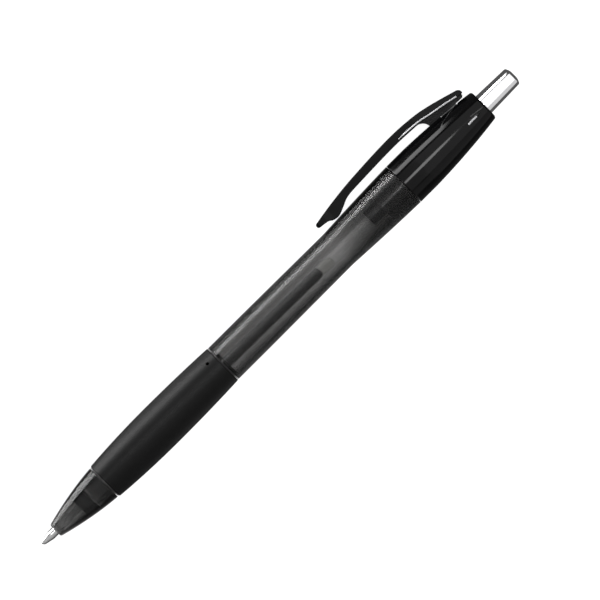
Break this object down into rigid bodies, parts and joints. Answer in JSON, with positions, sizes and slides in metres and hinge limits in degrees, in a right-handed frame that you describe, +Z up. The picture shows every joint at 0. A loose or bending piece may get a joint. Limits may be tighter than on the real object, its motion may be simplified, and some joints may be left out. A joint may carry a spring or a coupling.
{
  "type": "retractable gel pen",
  "caption": "Retractable gel pen with clear smoke barrel and nose, rubber grip, spring-loaded refill, click button and pocket clip, shown with the point out.",
  "frame": {"origin": "centre of the pen's footprint, on the table surface it rests on", "axes": "+X along the pen's axis from the writing point to the button, +Z up, clip low on the +Y side with its edge on the table"},
  "size_m": [0.144, 0.0148, 0.0107],
  "materials": {
    "smoke_plastic": "clear smoke-tinted polycarbonate, polished",
    "grip_rubber": "soft black rubber, fine matte",
    "black_plastic": "polished black moulding",
    "chrome": "bright plated plastic",
    "dark_plastic": "dark acetal, as moulded",
    "steel": "turned stainless steel",
    "clear_plastic": "translucent polypropylene",
    "ink": "black gel ink",
    "grease": "pale translucent grease"
  },
  "bodies": {
    "pen_body": {"barrel": "smoke_plastic", "nose_cone": "smoke_plastic", "grip": "grip_rubber", "upper_housing": "black_plastic", "cam_guide": "dark_plastic", "spring": "steel"},
    "pocket_clip": {"clip": "black_plastic"},
    "push_button": {"button": "chrome", "plunger": "dark_plastic"},
    "refill": {"writing_tip": "steel", "tip_holder": "clear_plastic", "refill_tube": "clear_plastic", "ink": "ink", "follower_grease": "grease", "tail_plug": "clear_plastic"},
    "click_rotor": {"rotor": "dark_plastic"},
    "rolling_ball": {"writing_ball": "steel"}
  },
  "joints": [
    {"name": "refill_slide", "type": "slide", "parent": "pen_body", "child": "refill", "axis": [1, 0, 0], "range_m": [-0.0014, 0.005], "deforming": ["spring"]},
    {"name": "button_press", "type": "slide", "parent": "pen_body", "child": "push_button", "axis": [1, 0, 0], "range_m": [-0.0014, 0.005]},
    {"name": "rotor_turn", "type": "hinge", "parent": "refill", "child": "click_rotor", "pos_m": [0.033, -0.00201, 0.00537], "axis": [1, 0, 0], "continuous": true},
    {"name": "ball_roll", "type": "hinge", "parent": "refill", "child": "rolling_ball", "pos_m": [-0.07165, -0.00201, 0.00537], "axis": [0, 0.9236, -0.3833], "continuous": true},
    {"name": "clip_flex", "type": "hinge", "parent": "pen_body", "child": "pocket_clip", "pos_m": [0.057, 0.00178, 0.0038], "axis": [0, -0.3833, -0.9236], "range_deg": [0, 4], "stiffness_Nm_per_rad": 0.8}
  ],
  "couplings": [
    {"joint": "refill_slide", "follows": "button_press", "ratio": 1}
  ]
}
